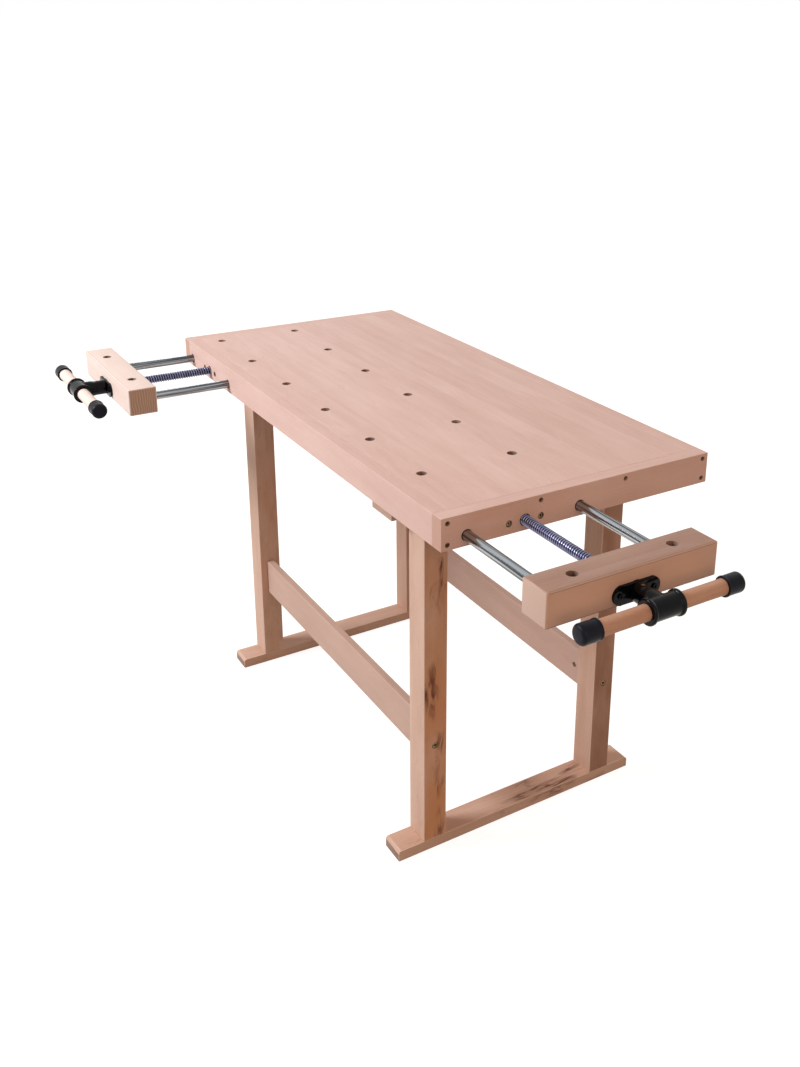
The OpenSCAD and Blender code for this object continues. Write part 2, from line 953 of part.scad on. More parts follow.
worktop_panel();
front_apron();
back_apron();
left_end_board();
right_end_board();
end_board_screws();
leg_front_left();
leg_front_right();
leg_back_left();
leg_back_right();
foot_left();
foot_right();
foot_screws();
upper_rail_left();
upper_rail_right();
stretcher_front();
stretcher_back();
stretcher_bolts();
barrel_nuts();
stretcher_dowels();
leg_cleats();
cleat_screws();
front_guide_blocks();
end_guide_blocks();
guide_block_screws();
front_nut_plate();
end_nut_plate();
nut_plate_bolts();
front_jaw();
front_guide_rods();
front_rod_setscrews();
front_rod_stops();
front_stop_screws();
front_flange();
front_flange_screws();
front_lead_screw();
front_collar();
front_hub();
front_hub_pin();
front_handle_bar();
front_handle_caps();
end_jaw();
end_guide_rods();
end_rod_setscrews();
end_rod_stops();
end_stop_screws();
end_flange();
end_flange_screws();
end_lead_screw();
end_collar();
end_hub();
end_hub_pin();
end_handle_bar();
end_handle_caps();
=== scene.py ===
# Beech woodworking bench with a front vise and an end vise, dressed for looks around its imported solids.
import json
import math

import bmesh
import bpy
from mathutils import Matrix, Vector


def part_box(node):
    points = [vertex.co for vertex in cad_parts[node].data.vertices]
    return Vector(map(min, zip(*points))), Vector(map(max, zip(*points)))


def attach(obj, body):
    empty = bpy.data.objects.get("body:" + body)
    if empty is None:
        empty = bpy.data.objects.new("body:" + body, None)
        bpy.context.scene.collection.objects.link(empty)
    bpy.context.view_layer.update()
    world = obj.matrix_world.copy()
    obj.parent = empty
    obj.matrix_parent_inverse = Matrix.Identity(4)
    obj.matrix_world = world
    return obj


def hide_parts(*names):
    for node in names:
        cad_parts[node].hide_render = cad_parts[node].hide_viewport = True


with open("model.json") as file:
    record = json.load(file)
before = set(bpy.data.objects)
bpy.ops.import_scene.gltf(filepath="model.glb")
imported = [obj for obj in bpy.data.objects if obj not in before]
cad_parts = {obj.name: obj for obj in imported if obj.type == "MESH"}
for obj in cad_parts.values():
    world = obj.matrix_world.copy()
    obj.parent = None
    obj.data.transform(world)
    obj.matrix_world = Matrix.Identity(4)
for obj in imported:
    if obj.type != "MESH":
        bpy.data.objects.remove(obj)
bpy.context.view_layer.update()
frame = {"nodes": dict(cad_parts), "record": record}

MM = 0.001
BODY_OF = {node: body for body, nodes in frame["record"]["behaviour"]["bodies"].items() for node in nodes}
SLOT_OF = {part["node"]: part["material_slot"] for part in frame["record"]["subparts"]}

# Photograph's frame in pixels
PHOTO_WIDTH = 800
PHOTO_HEIGHT = 1067


def linear(code):
    """An sRGB hex colour as linear red, green, blue and full alpha."""
    channels = [int(code[i:i + 2], 16) / 255 for i in (0, 2, 4)]
    return [c / 12.92 if c <= 0.04045 else ((c + 0.055) / 1.055) ** 2.4 for c in channels] + [1.0]


def put(tree, kind, inputs=None, **settings):
    """Adds a node: first its settings, then its sockets, each with a value or another node's output."""
    node = tree.nodes.new(kind)
    for name, value in settings.items():
        setattr(node, name, value)
    for key, value in (inputs or {}).items():
        if isinstance(value, bpy.types.NodeSocket):
            tree.links.new(value, node.inputs[key])
        else:
            node.inputs[key].default_value = value
    return node


def new_material(name):
    """A new material and its empty node tree."""
    material = bpy.data.materials.new(name)
    material.use_nodes = True
    material.node_tree.nodes.clear()
    return material, material.node_tree


# Numbers of a colour Mix node's sockets, and of a Map Range node's limits
MIX_FACTOR, MIX_A, MIX_B, MIX_RESULT = 0, 6, 7, 2
FROM_LOW, FROM_HIGH, TO_LOW, TO_HIGH = 1, 2, 3, 4

# Turn that lays the grain of a board along x in its pattern
GRAIN_TURN = {"x": (0, 0, 0), "y": (0, 0, -math.pi / 2), "z": (0, math.pi / 2, 0)}
# Figure of the wood: how long and wide its spots are in mm along and across the grain, their detail and
# their swirl. Fibres are drawn three times and ray flecks twice as wide as real ones, so that they show.
FIGURE = {
    "fibre": (110, 1.3, 3.0, 0.0), "band": (400, 30, 2.0, 0.0), "cloud": (170, 75, 2.0, 0.0),
    "fleck": (7, 1.0, 1.0, 0.0), "stain": (130, 45, 2.0, 0.0), "swirl": (55, 11, 3.0, 0.8),
}
# Values of the noise at which a fleck starts and is full
FLECK_RAMP = (0.58, 0.70)
# Figure that follows the slow bends of the grain, which are about 300 mm long and 15 mm deep
BENT_FIGURE = ("fibre", "stain", "swirl")
BENDS_PER_METRE = (3.3, 14, 14)
BEND_SWAY = 30 * MM
# Growth rings, around a heart that lies outside the board. The wave pattern has 20 waves to 2 pi.
RING_WIDTH = 5 * MM
RING_SCALE = 2 * math.pi / (20 * RING_WIDTH)
# How far a board's seed moves its figure, in metres along and across the grain
SEED_SHIFT = (5.3, 0.31, 0.43)
# How much paler or browner a glued strip may be than its panel
STRIP_LEAN = 0.09
# How much each pattern pales or browns the wood
TONE_SWING = {"band": 0.20, "cloud": 0.22, "rings": 0.05, "fibre": 0.15, "fleck": 0.08}
# Shares of the colours laid over the wood: the values at which each starts and is full, its least and most
SHARES = {
    "x_facing": (0.5, 0.9, 0.0, 1.0), "side_patches": (0.25, 0.65, 0.45, 1.0), "smudge": (0.54, 0.68, 0.0, 1.0),
    "lines": (0.46, 0.62, 0.15, 1.0), "clean": (0.5, 0.9, 1.0, 0.15), "end": (0.75, 0.95, 0.0, 1.0),
    "ring_dark": (0.0, 1.0, 0.55, 1.0),
}
# Walls of drilled holes and recesses are painted dark: painted shade inside the holes
PAINTED_HOLE_SHADE = "34211a"


def beech(name, grain, pale, brown, painted_side_shading, streak, end_grain, strip_width=0):
    """Steamed beech, planed, sanded and thinly lacquered: even pinkish wood with growth rings, fine long
    fibres, short dark ray flecks and darker end grain. Attributes give each board its own looks."""
    material, tree = new_material(name)
    texture = put(tree, "ShaderNodeTexCoord").outputs
    names = ("board", "shade", "streaky", "side_shading_amount", "edge", "bore")
    own = {n: put(tree, "ShaderNodeAttribute", attribute_name=n).outputs["Fac"] for n in names}
    seed, shade = own["board"], own["shade"]
    along = put(tree, "ShaderNodeMapping", {"Vector": texture["Object"], "Rotation": GRAIN_TURN[grain]})
    # Strips glued side by side into a panel, each with its own figure
    if strip_width:
        split = put(tree, "ShaderNodeSeparateXYZ", {0: texture["Object"]})
        row = put(tree, "ShaderNodeMath", {0: split.outputs["Y"], 1: 1 / strip_width}, operation="MULTIPLY")
        strip = put(tree, "ShaderNodeMath", {0: row.outputs[0]}, operation="FLOOR")
        chance = put(tree, "ShaderNodeTexWhiteNoise", {"W": strip.outputs[0]}, noise_dimensions="1D")
        draw = chance.outputs["Value"]
        seed = put(tree, "ShaderNodeMath", {0: seed, 1: draw}, operation="ADD").outputs[0]
        lean = put(tree, "ShaderNodeMapRange", {0: draw, TO_LOW: -STRIP_LEAN, TO_HIGH: STRIP_LEAN})
        shade = put(tree, "ShaderNodeMath", {0: shade, 1: lean.outputs[0]}, operation="ADD").outputs[0]
    shift = put(tree, "ShaderNodeVectorMath", {0: SEED_SHIFT, "Scale": seed}, operation="SCALE")
    moved = put(tree, "ShaderNodeVectorMath", {0: along.outputs[0], 1: shift.outputs[0]}, operation="ADD")
    wood = moved.outputs[0]

    # Grain that sways to both sides of its straight course
    bend_at = put(tree, "ShaderNodeVectorMath", {0: wood, 1: BENDS_PER_METRE}, operation="MULTIPLY")
    bend = put(tree, "ShaderNodeTexNoise", {"Vector": bend_at.outputs[0], "Scale": 1.0, "Detail": 2.0})
    middle = put(tree, "ShaderNodeVectorMath", {0: bend.outputs["Color"], 1: (0.5, 0.5, 0.5)},
                 operation="SUBTRACT")
    sway = put(tree, "ShaderNodeVectorMath", {0: middle.outputs[0], "Scale": BEND_SWAY}, operation="SCALE")
    bent = put(tree, "ShaderNodeVectorMath", {0: wood, 1: sway.outputs[0]}, operation="ADD").outputs[0]

    figure = {}
    for kind, (long, wide, detail, swirl) in FIGURE.items():
        where = bent if kind in BENT_FIGURE else wood
        spots = (1 / (long * MM), 1 / (wide * MM), 1 / (wide * MM))
        at = put(tree, "ShaderNodeVectorMath", {0: where, 1: spots}, operation="MULTIPLY")
        figure[kind] = put(tree, "ShaderNodeTexNoise", {
            "Vector": at.outputs[0], "Scale": 1.0, "Detail": detail, "Distortion": swirl}).outputs["Fac"]
    figure["fleck"] = put(tree, "ShaderNodeMapRange", {
        0: figure["fleck"], FROM_LOW: FLECK_RAMP[0], FROM_HIGH: FLECK_RAMP[1]}).outputs[0]
    figure["rings"] = put(tree, "ShaderNodeTexWave", {
        "Vector": bent, "Scale": RING_SCALE, "Distortion": 0.6, "Detail": 1.0},
        wave_type="RINGS", rings_direction="X", wave_profile="SAW").outputs["Fac"]

    # How brown the wood is at each point
    tone = shade
    for kind, swing in TONE_SWING.items():
        part = put(tree, "ShaderNodeMapRange", {0: figure[kind], TO_LOW: -swing, TO_HIGH: swing}).outputs[0]
        tone = put(tree, "ShaderNodeMath", {0: tone, 1: part}, operation="ADD").outputs[0]
    face = put(tree, "ShaderNodeMix", {MIX_FACTOR: tone, MIX_A: linear(pale), MIX_B: linear(brown)},
               data_type="RGBA").outputs[MIX_RESULT]

    # How far the surface faces each way
    normal = put(tree, "ShaderNodeSeparateXYZ", {0: texture["Normal"]}).outputs
    facing = {way: put(tree, "ShaderNodeMath", {0: normal[way.upper()]}, operation="ABSOLUTE").outputs[0]
              for way in "xyz"}
    # Some boards' x-facing sides take painted shading in heartwood-like patches: a darker, redder
    # painted shade in most palettes, a paler painted light on the end jaw. Mineral stain lies in soft
    # smudges with darker swirls, faint on front and back. End grain shows on faces across the grain.
    sources = {"x_facing": facing["x"], "side_patches": figure["cloud"], "smudge": figure["stain"],
               "lines": figure["swirl"], "clean": facing["y"], "end": facing[grain],
               "ring_dark": figure["rings"]}
    share = {}
    for kind, (start, full, least, most) in SHARES.items():
        share[kind] = put(tree, "ShaderNodeMapRange", {
            0: sources[kind], FROM_LOW: start, FROM_HIGH: full, TO_LOW: least, TO_HIGH: most}).outputs[0]
    # Colours laid over the wood one after another, each by the product of its shares: painted shading on
    # x-facing sides, stain, end grain, eased edges sanded through to paler wood in places, and painted
    # shade on the walls of drilled holes.
    layers = (
        # x-facing sides: painted shading, darker in most palettes and paler on the end jaw
        (painted_side_shading, (share["x_facing"], share["side_patches"], own["side_shading_amount"])),
        (streak, (share["smudge"], share["lines"], own["streaky"], share["clean"])),
        (end_grain, (share["end"], share["ring_dark"])),
        (pale, (own["edge"], figure["band"])),
        # walls of drilled holes and recesses: painted shade
        (PAINTED_HOLE_SHADE, (own["bore"], figure["band"])),
    )
    for colour, parts in layers:
        amount = parts[0]
        for part in parts[1:]:
            amount = put(tree, "ShaderNodeMath", {0: amount, 1: part}, operation="MULTIPLY").outputs[0]
        face = put(tree, "ShaderNodeMix", {MIX_FACTOR: amount, MIX_A: face, MIX_B: linear(colour)},
                   data_type="RGBA").outputs[MIX_RESULT]

    dull = put(tree, "ShaderNodeMapRange", {0: figure["fibre"], TO_LOW: 0.50, TO_HIGH: 0.68}).outputs[0]
    relief = put(tree, "ShaderNodeMath", {0: figure["fibre"], 1: figure["fleck"]}, operation="SUBTRACT")
    bump = put(tree, "ShaderNodeBump", {
        "Height": relief.outputs[0], "Strength": 0.25, "Distance": 0.15 * MM}).outputs[0]
    surface = put(tree, "ShaderNodeBsdfPrincipled", {
        "Base Color": face, "Roughness": dull, "Normal": bump, "IOR": 1.5, "Specular IOR Level": 0.25})
    put(tree, "ShaderNodeOutputMaterial", {"Surface": surface.outputs[0]})
    return material


# Light and dark streaks along a metal, 250 mm long and 3.5 mm wide: painted reflection streaks, and rubbing
# marks
STREAKS_PER_METRE = (4, 285, 285)
# Width of the fine scuffs on metal, and of the dusty patches on a coating
SCUFF = 1.5 * MM
DUST = 14 * MM


def metal(name, colour, tint, smooth, dull, spot, groove_colour=None, painted_streak_axis=None):
    """Plated steel: a bright metal whose sheen changes a little in patches about as wide as spot.
    A streaked one has long fine light and dark streaks along an axis: painted reflection streaks, and
    rubbing where it slides through its bearings."""
    material, tree = new_material(name)
    where = put(tree, "ShaderNodeTexCoord").outputs["Object"]
    patch_at, patch_scale = where, 1 / spot
    if painted_streak_axis:
        turned = put(tree, "ShaderNodeMapping", {"Vector": where, "Rotation": GRAIN_TURN[painted_streak_axis]})
        streaks = put(tree, "ShaderNodeVectorMath", {0: turned.outputs[0], 1: STREAKS_PER_METRE},
                      operation="MULTIPLY")
        patch_at, patch_scale = streaks.outputs[0], 1.0
    patches = put(tree, "ShaderNodeTexNoise", {"Vector": patch_at, "Scale": patch_scale, "Detail": 3.0})
    patch = patches.outputs["Fac"]
    scuffs = put(tree, "ShaderNodeTexNoise", {"Vector": where, "Scale": 1 / SCUFF, "Detail": 2.0})
    scuff = scuffs.outputs["Fac"]
    both = put(tree, "ShaderNodeMath", {0: patch, 1: scuff}, operation="MULTIPLY").outputs[0]
    rough = put(tree, "ShaderNodeMapRange", {
        0: both, FROM_LOW: 0.15, FROM_HIGH: 0.45, TO_LOW: smooth, TO_HIGH: dull}).outputs[0]
    # On a streaked metal the light and dark streaks of the hue are painted reflection
    hue = put(tree, "ShaderNodeMapRange", {0: patch, FROM_LOW: 0.40, FROM_HIGH: 0.60}).outputs[0]
    face = put(tree, "ShaderNodeMix", {MIX_FACTOR: hue, MIX_A: linear(colour), MIX_B: linear(tint)},
               data_type="RGBA")
    if groove_colour:
        root = put(tree, "ShaderNodeAttribute", attribute_name="groove").outputs["Fac"]
        face = put(tree, "ShaderNodeMix", {MIX_FACTOR: root, MIX_A: face.outputs[MIX_RESULT],
                                           MIX_B: linear(groove_colour)}, data_type="RGBA")
    bump = put(tree, "ShaderNodeBump", {"Height": scuff, "Strength": 0.06, "Distance": 0.1 * MM}).outputs[0]
    surface = put(tree, "ShaderNodeBsdfPrincipled", {
        "Base Color": face.outputs[MIX_RESULT], "Metallic": 1.0, "Roughness": rough, "Normal": bump})
    put(tree, "ShaderNodeOutputMaterial", {"Surface": surface.outputs[0]})
    return material


def coated(name, colour, worn, smooth, dull, grit, depth, index, shine):
    """A dark skin over a core: grit sets the size of its texture and depth how far it stands out."""
    material, tree = new_material(name)
    where = put(tree, "ShaderNodeTexCoord").outputs["Object"]
    grain = put(tree, "ShaderNodeTexVoronoi", {"Vector": where, "Scale": 1 / grit}).outputs["Distance"]
    patches = put(tree, "ShaderNodeTexNoise", {"Vector": where, "Scale": 1 / DUST, "Detail": 4.0})
    dust = patches.outputs["Fac"]
    patch = put(tree, "ShaderNodeMapRange", {0: dust, FROM_LOW: 0.45, FROM_HIGH: 0.75}).outputs[0]
    face = put(tree, "ShaderNodeMix", {MIX_FACTOR: patch, MIX_A: linear(colour), MIX_B: linear(worn)},
               data_type="RGBA")
    rough = put(tree, "ShaderNodeMapRange", {
        0: dust, FROM_LOW: 0.3, FROM_HIGH: 0.7, TO_LOW: smooth, TO_HIGH: dull}).outputs[0]
    bump = put(tree, "ShaderNodeBump", {"Height": grain, "Strength": 0.5, "Distance": depth}).outputs[0]
    surface = put(tree, "ShaderNodeBsdfPrincipled", {
        "Base Color": face.outputs[MIX_RESULT], "Roughness": rough, "Normal": bump, "IOR": index,
        "Specular IOR Level": shine})
    put(tree, "ShaderNodeOutputMaterial", {"Surface": surface.outputs[0]})
    return material


# Width of one strip of the glued-up top: twelve between the aprons
STRIP_WIDTH = 560 * MM / 12
# Colours of the boards: pale pink for the top, tan for the legs, a duller rose for some others, and cream
# for the front vise
# The fourth colour of each palette is painted shading for the x-facing sides of boards: a darker, redder
# shade in most, a paler light in BLUSH
PALE = dict(pale="e3c6bf", brown="c0978c", painted_side_shading="b07a58", streak="7a4026", end_grain="bd9484")
TAN = dict(pale="e2c7b9", brown="b4846a", painted_side_shading="c2855a", streak="5e260a", end_grain="80685f")
ROSE = dict(pale="cdaea1", brown="a07f72", painted_side_shading="83563d", streak="5c2e1a", end_grain="d6bbaf")
CREAM = dict(pale="ecdad4", brown="d2b7ad", painted_side_shading="b07a58", streak="7a4026", end_grain="a8836c")
# Tan wood with a dark brown painted shade on its x-facing sides, for a leg and a bar, and rose wood with
# a paler painted light on its x-facing sides, for the end jaw
UMBER = dict(TAN, painted_side_shading="83563d", streak="5c2e1a")
BLUSH = dict(ROSE, painted_side_shading="cfaa98")
PALETTES = {"pale": PALE, "tan": TAN, "rose": ROSE, "cream": CREAM, "umber": UMBER, "blush": BLUSH}

# Wooden nodes: palette, grain direction, shade, and how stained each board is and how strongly its
# x-facing sides take painted shading
BOARDS = {
    "worktop_panel": ("pale", "x", 0.33, 0.0, 0.0), "front_apron": ("pale", "x", 0.40, 0.0, 0.0),
    "back_apron": ("pale", "x", 0.36, 0.0, 0.0), "left_end_board": ("pale", "y", 0.34, 0.0, 0.0),
    "right_end_board": ("pale", "y", 0.34, 0.0, 0.3), "leg_front_left": ("tan", "z", 0.54, 0.2, 0.25),
    "leg_front_right": ("tan", "z", 0.42, 0.95, 0.9), "leg_back_left": ("tan", "z", 0.64, 0.2, 0.35),
    "leg_back_right": ("umber", "z", 0.60, 0.2, 0.8), "foot_left": ("tan", "y", 0.50, 0.0, 0.3),
    "foot_right": ("tan", "y", 0.60, 0.9, 0.0), "upper_rail_left": ("tan", "y", 0.45, 0.0, 0.3),
    "upper_rail_right": ("tan", "y", 0.45, 0.0, 0.3), "stretcher_front": ("rose", "x", 0.25, 0.0, 0.0),
    "stretcher_back": ("rose", "x", 0.30, 0.1, 0.0), "stretcher_dowels": ("tan", "x", 0.40, 0.0, 0.0),
    "leg_cleats": ("tan", "y", 0.50, 0.0, 0.0), "front_guide_blocks": ("rose", "y", 0.50, 0.0, 0.0),
    "end_guide_blocks": ("rose", "x", 0.55, 0.0, 0.0), "front_jaw": ("cream", "x", 0.2, 0.0, 0.0),
    "end_jaw": ("blush", "y", 0.90, 0.0, 0.9), "front_handle_bar": ("cream", "x", 0.1, 0.0, 0.0),
    "end_handle_bar": ("umber", "y", 0.90, 0.0, 0.3),
}
WOODS = {}
for palette, grain in sorted({board[:2] for board in BOARDS.values()}):
    WOODS[(palette, grain)] = beech(f"beech_{palette}_along_{grain}", grain, **PALETTES[palette])
# The panel is glued up from strips
GLUED_STRIPS = beech("beech_glued_strips", "x", strip_width=STRIP_WIDTH, **PALE)

# Hard chromed guide rods: bright, with long light and dark streaks along them that are partly painted
# reflection and partly rubbing by the bearings, with a faint haze of oil and handling
CHROME = {axis: metal("chromed_rod_along_" + axis, colour="a9acb0", tint="4c5053", smooth=0.10, dull=0.26,
                      spot=40 * MM, painted_streak_axis=axis) for axis in ("x", "y")}
# Zinc with a blue passivation, violet in patches, and darker towards the roots of the thread
BLUE_ZINC = metal("blue_zinc_screw", colour="8f92ad", tint="777a9c", smooth=0.20, dull=0.38, spot=18 * MM,
                  groove_colour="2f3044")
# Yellow zinc on bolts and screws, dull, and darkened towards brown as painted shade for the recesses most
# heads sit in
ZINC = metal("yellow_zinc_fastener_recess_shaded", colour="86704c", tint="5c4c38", smooth=0.30, dull=0.50, spot=9 * MM)
# Black oxide on the screws of the castings
BLACK_STEEL = metal("black_oxide_screw", colour="16161a", tint="0c0c0f", smooth=0.28, dull=0.45,
                    spot=9 * MM)
# Cast iron under black gloss enamel, whose skin keeps a little of the sand's texture
BLACK_IRON = coated("black_enamelled_iron", colour="060608", worn="0d0d10", smooth=0.08, dull=0.17,
                    grit=1.6 * MM, depth=0.03 * MM, index=1.5, shine=0.12)
# Moulded rubber: bluish black, dull, with a pebbled skin that holds dust
RUBBER = coated("black_rubber_cap", colour="080813", worn="121424", smooth=0.30, dull=0.50,
                grit=1.3 * MM, depth=0.20 * MM, index=1.52, shine=0.12)

# Finish of each slot of the record that isn't wood or chrome
FINISHES = {"zinc_steel": ZINC, "black_steel": BLACK_STEEL, "zinc_screw": BLUE_ZINC,
            "black_casting": BLACK_IRON, "black_rubber": RUBBER}
# Golden share that spreads the boards' pattern seeds evenly, and how many seeds are kept for a node
SPREAD = 0.618034
SEEDS_PER_NODE = 3
# Boards whose seed was picked, so that their stains and rings lie as in the photograph
PICKED_SEED = {"leg_front_right": 0.625, "foot_right": 0.6, "front_jaw": -1.88}

# Axis along which each pair of rods slides
ROD_AXIS = {"front_guide_rods": "y", "end_guide_rods": "x"}


def finish_of(node):
    """Material of a node."""
    if node == "worktop_panel":
        return GLUED_STRIPS
    if node in BOARDS:
        return WOODS[BOARDS[node][:2]]
    if node in ROD_AXIS:
        return CHROME[ROD_AXIS[node]]
    return FINISHES[SLOT_OF[node]]


def loose_parts(work):
    """The separate solids of a mesh, each as a list of its corners."""
    parts = []
    seen = set()
    for start in work.verts:
        if start in seen:
            continue
        seen.add(start)
        part = [start]
        for vert in part:
            fresh = {link.other_vert(vert) for link in vert.link_edges} - seen
            seen |= fresh
            part += sorted(fresh, key=lambda corner: corner.index)
        parts.append(part)
    return parts


def mark_boards(mesh, node, eased_faces=(), shaded_bore_faces=()):
    """Gives each loose board its own seed, and the mesh its looks, eased edges and drilled walls that take
    painted shade.
    """
    shade, streaky, side_shading_amount = BOARDS[node][2:]
    work = bmesh.new()
    work.from_mesh(mesh)
    seeds = [0.0] * len(work.verts)
    count = list(BOARDS).index(node) * SEEDS_PER_NODE
    for part in loose_parts(work):
        count += 1
        for vert in part:
            seeds[vert.index] = PICKED_SEED.get(node, count * SPREAD % 1)
    work.free()
    size = len(seeds)
    values = {"board": seeds, "shade": [shade] * size, "streaky": [streaky] * size,
              "side_shading_amount": [side_shading_amount] * size}
    for name, numbers in values.items():
        mesh.attributes.new(name, "FLOAT", "POINT").data.foreach_set("value", numbers)
    for name, faces in (("edge", eased_faces), ("bore", shaded_bore_faces)):
        marks = [float(face.index in faces) for face in mesh.polygons]
        mesh.attributes.new(name, "FLOAT", "FACE").data.foreach_set("value", marks)


# Faces that meet at less than this are shaded as one curved surface
SMOOTH_BELOW = math.radians(24)


def mesh_of(work, name):
    """A plain mesh from an editable one, which is freed."""
    mesh = bpy.data.meshes.new(name)
    work.to_mesh(mesh)
    work.free()
    return mesh


def joined_mesh(meshes, name):
    """One mesh made of several, which are removed."""
    work = bmesh.new()
    for part in meshes:
        work.from_mesh(part)
        bpy.data.meshes.remove(part)
    return mesh_of(work, name)


def show(mesh, name, node):
    """Links a finished mesh as the piece that stands for a node."""
    mesh.materials.clear()
    mesh.materials.append(finish_of(node))
    mesh.shade_smooth()
    mesh.set_sharp_from_angle(angle=SMOOTH_BELOW)
    piece = bpy.data.objects.new(name, mesh)
    bpy.context.scene.collection.objects.link(piece)
    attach(piece, BODY_OF[node])
    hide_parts(node)


# Corners closer than this are one, and faces that meet at less than this are one
WELD = 0.002 * MM
FLAT = math.radians(0.5)
# Facets of a drilled wall meet at more than this and less than a crease. Sharper edges are eased.
FACET = math.radians(1)
CREASE = math.radians(28)
# A straight edge longer than this belongs to a board's outline, a shorter one to a drilled hole
OUTLINE_LENGTH = 15 * MM
# How far the rims of drilled holes are eased
RIM = 0.4 * MM


def solid_copy(node):
    """A node's mesh as one joined solid with flat faces whole."""
    work = bmesh.new()
    work.from_mesh(frame["nodes"][node].data)
    bmesh.ops.remove_doubles(work, verts=work.verts, dist=WELD)
    bmesh.ops.dissolve_limit(work, angle_limit=FLAT, verts=work.verts, edges=work.edges)
    return work


def sharp_edges(work):
    """Outer corners of a solid that are still sharp."""
    convex = [edge for edge in work.edges if len(edge.link_faces) == 2 and edge.is_convex]
    return [edge for edge in convex if edge.calc_face_angle(0) > CREASE]


def is_hollow(edge):
    """Whether an edge lies between two facets of a drilled wall."""
    if len(edge.link_faces) != 2 or edge.is_convex:
        return False
    return FACET < edge.calc_face_angle(0) < CREASE


def round_over(work, edges, width, steps):
    """Rounds edges by width in a number of steps, and returns the new faces."""
    made = bmesh.ops.bevel(work, geom=edges, offset=width, offset_type="OFFSET", segments=steps,
                           profile=0.5, affect="EDGES", clamp_overlap=False)
    return made["faces"]


# Blocks whose two ends are rounded over further
ROUNDED_ENDS = ("front_jaw", "end_jaw")
END_ROUND = 2.8 * MM
END_STEPS = 4
# A face of an end faces along the board by this share, and lies this close to its furthest point
END_FACING = 0.99
END_DEPTH = 0.1 * MM


def end_faces(work, node):
    """The faces at the two ends of a board."""
    axis = "xyz".index(BOARDS[node][1])
    ends = [corner[axis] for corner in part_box(node)]
    flat = [face for face in work.faces if abs(face.normal[axis]) > END_FACING]
    return [face for face in flat if min(abs(face.verts[0].co[axis] - end) for end in ends) < END_DEPTH]


def eased(node, width, steps=2):
    """A node with its outer edges rounded over by width, as a sander leaves them."""
    work = solid_copy(node)
    layer = work.faces.layers.int.new("eased")
    if node in ROUNDED_ENDS:
        around = {edge for face in end_faces(work, node) for edge in face.edges}
        ends = [edge for edge in sharp_edges(work) if edge in around]
        for face in round_over(work, ends, END_ROUND, END_STEPS):
            face[layer] = 1
    outline = [edge for edge in sharp_edges(work) if edge.calc_length() > OUTLINE_LENGTH]
    for face in round_over(work, outline, width, steps):
        face[layer] = 1
    rims = [edge for edge in sharp_edges(work) if edge.calc_length() <= OUTLINE_LENGTH]
    rims = [edge for edge in rims if not any(face[layer] for face in edge.link_faces)]
    for face in round_over(work, rims, min(width, RIM), steps):
        face[layer] = 1
    bmesh.ops.dissolve_degenerate(work, dist=WELD, edges=work.edges)
    work.faces.index_update()
    rounded = {face.index for face in work.faces if face[layer]}
    # Walls of drilled holes, which take a painted shade
    drilled = {face.index for face in work.faces if sum(map(is_hollow, face.edges)) > 1}
    mesh = mesh_of(work, node + "_eased")
    if node in BOARDS:
        mark_boards(mesh, node, rounded, drilled)
    show(mesh, node + "_eased", node)


# Wooden boards, with how far their edges are eased
EASED_BOARDS = {
    "worktop_panel": 0.4, "front_apron": 0.8, "back_apron": 0.8, "left_end_board": 0.8,
    "right_end_board": 0.8, "leg_front_left": 1.5, "leg_front_right": 1.5, "leg_back_left": 1.5,
    "leg_back_right": 1.5, "foot_left": 1.5, "foot_right": 1.5, "upper_rail_left": 1.5,
    "upper_rail_right": 1.5, "stretcher_front": 2.0, "stretcher_back": 2.0, "leg_cleats": 1.0,
    "front_guide_blocks": 1.0, "end_guide_blocks": 1.0, "front_jaw": 1.1, "end_jaw": 1.1,
}
for board, ease in EASED_BOARDS.items():
    eased(board, ease * MM)
# Castings have softer edges than boards, in more steps
EASED_CASTINGS = {"front_nut_plate": 1.0, "end_nut_plate": 1.0, "front_flange": 1.3, "end_flange": 1.3}
CASTING_STEPS = 3
for casting, ease in EASED_CASTINGS.items():
    eased(casting, ease * MM, CASTING_STEPS)
DISC_EASE = 0.6 * MM
for disc in ("front_rod_stops", "end_rod_stops"):
    eased(disc, DISC_EASE)

# Each vise has its own frame: x points out of the bench along the screw, y along the handle bar, z up
OUT = {"front": Vector((0, -1, 0)), "end": Vector((1, 0, 0))}
SIDE = {"front": Vector((1, 0, 0)), "end": Vector((0, 1, 0))}
UP = Vector((0, 0, 1))


def frame_at(vise, point):
    """Matrix that lays a mesh built along the vise's own axes at a point of the bench."""
    turn = Matrix((OUT[vise], SIDE[vise], UP)).transposed()
    return Matrix.Translation(point) @ turn.to_4x4()


def reach(node, way):
    """Lowest and highest place of a node along a direction."""
    low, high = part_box(node)
    return sorted((low.dot(way), high.dot(way)))


def half_size(node, way):
    """Half of a node's size along a direction."""
    low, high = reach(node, way)
    return (high - low) / 2


def centre(node):
    """Middle of a node's box."""
    low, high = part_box(node)
    return (low + high) / 2


def turn_profile(work, profile, axis, segments):
    """Adds a turned shape: a profile of (place along the axis, radius) spun about local x or y."""
    rings = []
    for place, radius in profile:
        if radius == 0:
            spots = [(place, 0, 0)]
        else:
            angles = [2 * math.pi * i / segments for i in range(segments)]
            spots = [(place, radius * math.cos(a), radius * math.sin(a)) for a in angles]
        if axis == "y":
            spots = [(z, x, y) for x, y, z in spots]
        rings.append([work.verts.new(spot) for spot in spots])
    for first, second in zip(rings, rings[1:]):
        for i in range(segments):
            j = (i + 1) % segments
            spots = ((first, i), (first, j), (second, j), (second, i))
            corners = [ring[k % len(ring)] for ring, k in spots]
            work.faces.new(list(dict.fromkeys(corners)))


